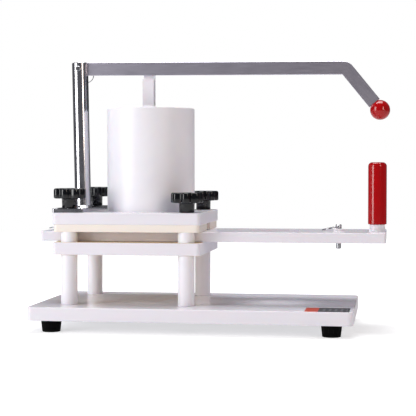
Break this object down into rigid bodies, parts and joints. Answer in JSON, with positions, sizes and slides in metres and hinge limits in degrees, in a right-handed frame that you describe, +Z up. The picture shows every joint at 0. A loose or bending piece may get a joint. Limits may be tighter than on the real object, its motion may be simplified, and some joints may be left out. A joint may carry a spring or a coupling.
{
  "type": "lever food press",
  "caption": "Hand lever press that pushes soft food from a cylindrical hopper down into a round mould in a sliding tray.",
  "frame": {"origin": "on the table, under the middle of the whole press", "axes": "+Z up; +X along the tray towards its grip; +Y to the back, away from the label"},
  "size_m": [0.532, 0.25, 0.4084],
  "materials": {
    "white_pe": "machined white polyethylene board, satin",
    "cream_pe": "cream polyethylene board, satin",
    "black_rubber": "moulded black rubber",
    "zinc_steel": "zinc plated steel",
    "brushed_steel": "brushed stainless flat bar",
    "polished_steel": "polished stainless steel",
    "black_plastic": "moulded black plastic, glossy",
    "red_plastic": "moulded red plastic, glossy",
    "sticker": "printed two-tone sticker, no lettering"
  },
  "bodies": {
    "frame": {"base_board": "white_pe", "rubber_feet": "black_rubber", "foot_screws": "zinc_steel", "front_left_leg": "white_pe", "front_right_leg": "white_pe", "rear_left_leg": "white_pe", "rear_right_leg": "white_pe", "front_left_spacer": "white_pe", "front_right_spacer": "white_pe", "rear_left_spacer": "white_pe", "rear_right_spacer": "white_pe", "lower_plate": "white_pe", "mid_plate": "cream_pe", "top_plate": "white_pe", "hopper": "white_pe", "tie_rods": "zinc_steel", "tie_rod_washers": "zinc_steel", "tie_rod_nuts": "zinc_steel", "post_strip": "brushed_steel", "post": "polished_steel", "label": "sticker"},
    "lever": {"lever_bar": "brushed_steel", "lever_ball": "red_plastic", "ball_stud": "zinc_steel", "rod_pin": "polished_steel", "rod_washer": "brushed_steel", "rod_nut": "brushed_steel"},
    "push_rod": {"push_rod": "white_pe"},
    "piston": {"piston": "white_pe", "piston_clevis": "white_pe", "piston_pin": "polished_steel", "clevis_screws": "brushed_steel"},
    "pivot_pin": {"pivot_pin": "polished_steel"},
    "pivot_ring": {"pivot_ring": "polished_steel"},
    "front_left_knob": {"front_left_knob": "black_plastic", "front_left_knob_insert": "zinc_steel"},
    "front_right_knob": {"front_right_knob": "black_plastic", "front_right_knob_insert": "zinc_steel"},
    "rear_left_knob": {"rear_left_knob": "black_plastic", "rear_left_knob_insert": "zinc_steel"},
    "rear_right_knob": {"rear_right_knob": "black_plastic", "rear_right_knob_insert": "zinc_steel"},
    "tray": {"tray_board": "white_pe", "left_pin_collar": "white_pe", "right_pin_collar": "white_pe", "grip_spacer": "white_pe", "grip_bolt": "zinc_steel"},
    "grip": {"grip": "red_plastic"},
    "left_stop_pin": {"left_stop_pin": "polished_steel"},
    "left_pin_ring": {"left_pin_ring": "polished_steel"},
    "right_stop_pin": {"right_stop_pin": "polished_steel"},
    "right_pin_ring": {"right_pin_ring": "polished_steel"}
  },
  "joints": [
    {"name": "lever_swing", "type": "hinge", "parent": "frame", "child": "lever", "pos_m": [-0.215, 0.008, 0.3983], "axis": [0, -1, 0], "range_deg": [-7, 30]},
    {"name": "rod_hang", "type": "hinge", "parent": "lever", "child": "push_rod", "pos_m": [-0.105, 0.008, 0.39744], "axis": [0, -1, 0], "range_deg": [-26.41, 6.17]},
    {"name": "piston_slide", "type": "slide", "parent": "frame", "child": "piston", "axis": [0, 0, 1], "range_m": [-0.01307, 0.05598]},
    {"name": "pivot_pin_pull", "type": "slide", "parent": "frame", "child": "pivot_pin", "axis": [0, 1, 0], "range_m": [0, 0.045]},
    {"name": "pivot_ring_swing", "type": "hinge", "parent": "pivot_pin", "child": "pivot_ring", "pos_m": [-0.215, 0.0255, 0.3983], "axis": [0.8192, 0, 0.5736], "range_deg": [-5, 90]},
    {"name": "tray_slide", "type": "slide", "parent": "frame", "child": "tray", "axis": [1, 0, 0], "range_m": [-0.194, 0]},
    {"name": "grip_spin", "type": "hinge", "parent": "tray", "child": "grip", "pos_m": [0.2474, 0.008, 0.1578], "axis": [0, 0, 1], "continuous": true},
    {"name": "front_left_knob_spin", "type": "hinge", "parent": "frame", "child": "front_left_knob", "pos_m": [-0.212, -0.072, 0.19], "axis": [0, 0, 1], "continuous": true},
    {"name": "front_right_knob_spin", "type": "hinge", "parent": "frame", "child": "front_right_knob", "pos_m": [-0.033, -0.072, 0.19], "axis": [0, 0, 1], "continuous": true},
    {"name": "rear_left_knob_spin", "type": "hinge", "parent": "frame", "child": "rear_left_knob", "pos_m": [-0.212, 0.088, 0.19], "axis": [0, 0, 1], "continuous": true},
    {"name": "rear_right_knob_spin", "type": "hinge", "parent": "frame", "child": "rear_right_knob", "pos_m": [-0.033, 0.088, 0.19], "axis": [0, 0, 1], "continuous": true},
    {"name": "left_pin_lift", "type": "slide", "parent": "tray", "child": "left_stop_pin", "axis": [0, 0, 1], "range_m": [0, 0.034]},
    {"name": "left_ring_swing", "type": "hinge", "parent": "left_stop_pin", "child": "left_pin_ring", "pos_m": [-0.2401, 0.008, 0.1542], "axis": [0, 1, 0], "range_deg": [0, 105]},
    {"name": "right_pin_lift", "type": "slide", "parent": "tray", "child": "right_stop_pin", "axis": [0, 0, 1], "range_m": [0, 0.034]},
    {"name": "right_ring_swing", "type": "hinge", "parent": "right_stop_pin", "child": "right_pin_ring", "pos_m": [0.1891, 0.008, 0.1542], "axis": [0, 1, 0], "range_deg": [0, 155]}
  ],
  "couplings": [
    {"joint": "rod_hang", "follows": "lever_swing", "ratio": -0.88},
    {"joint": "piston_slide", "follows": "lever_swing", "m_per_rad": 0.1069}
  ]
}
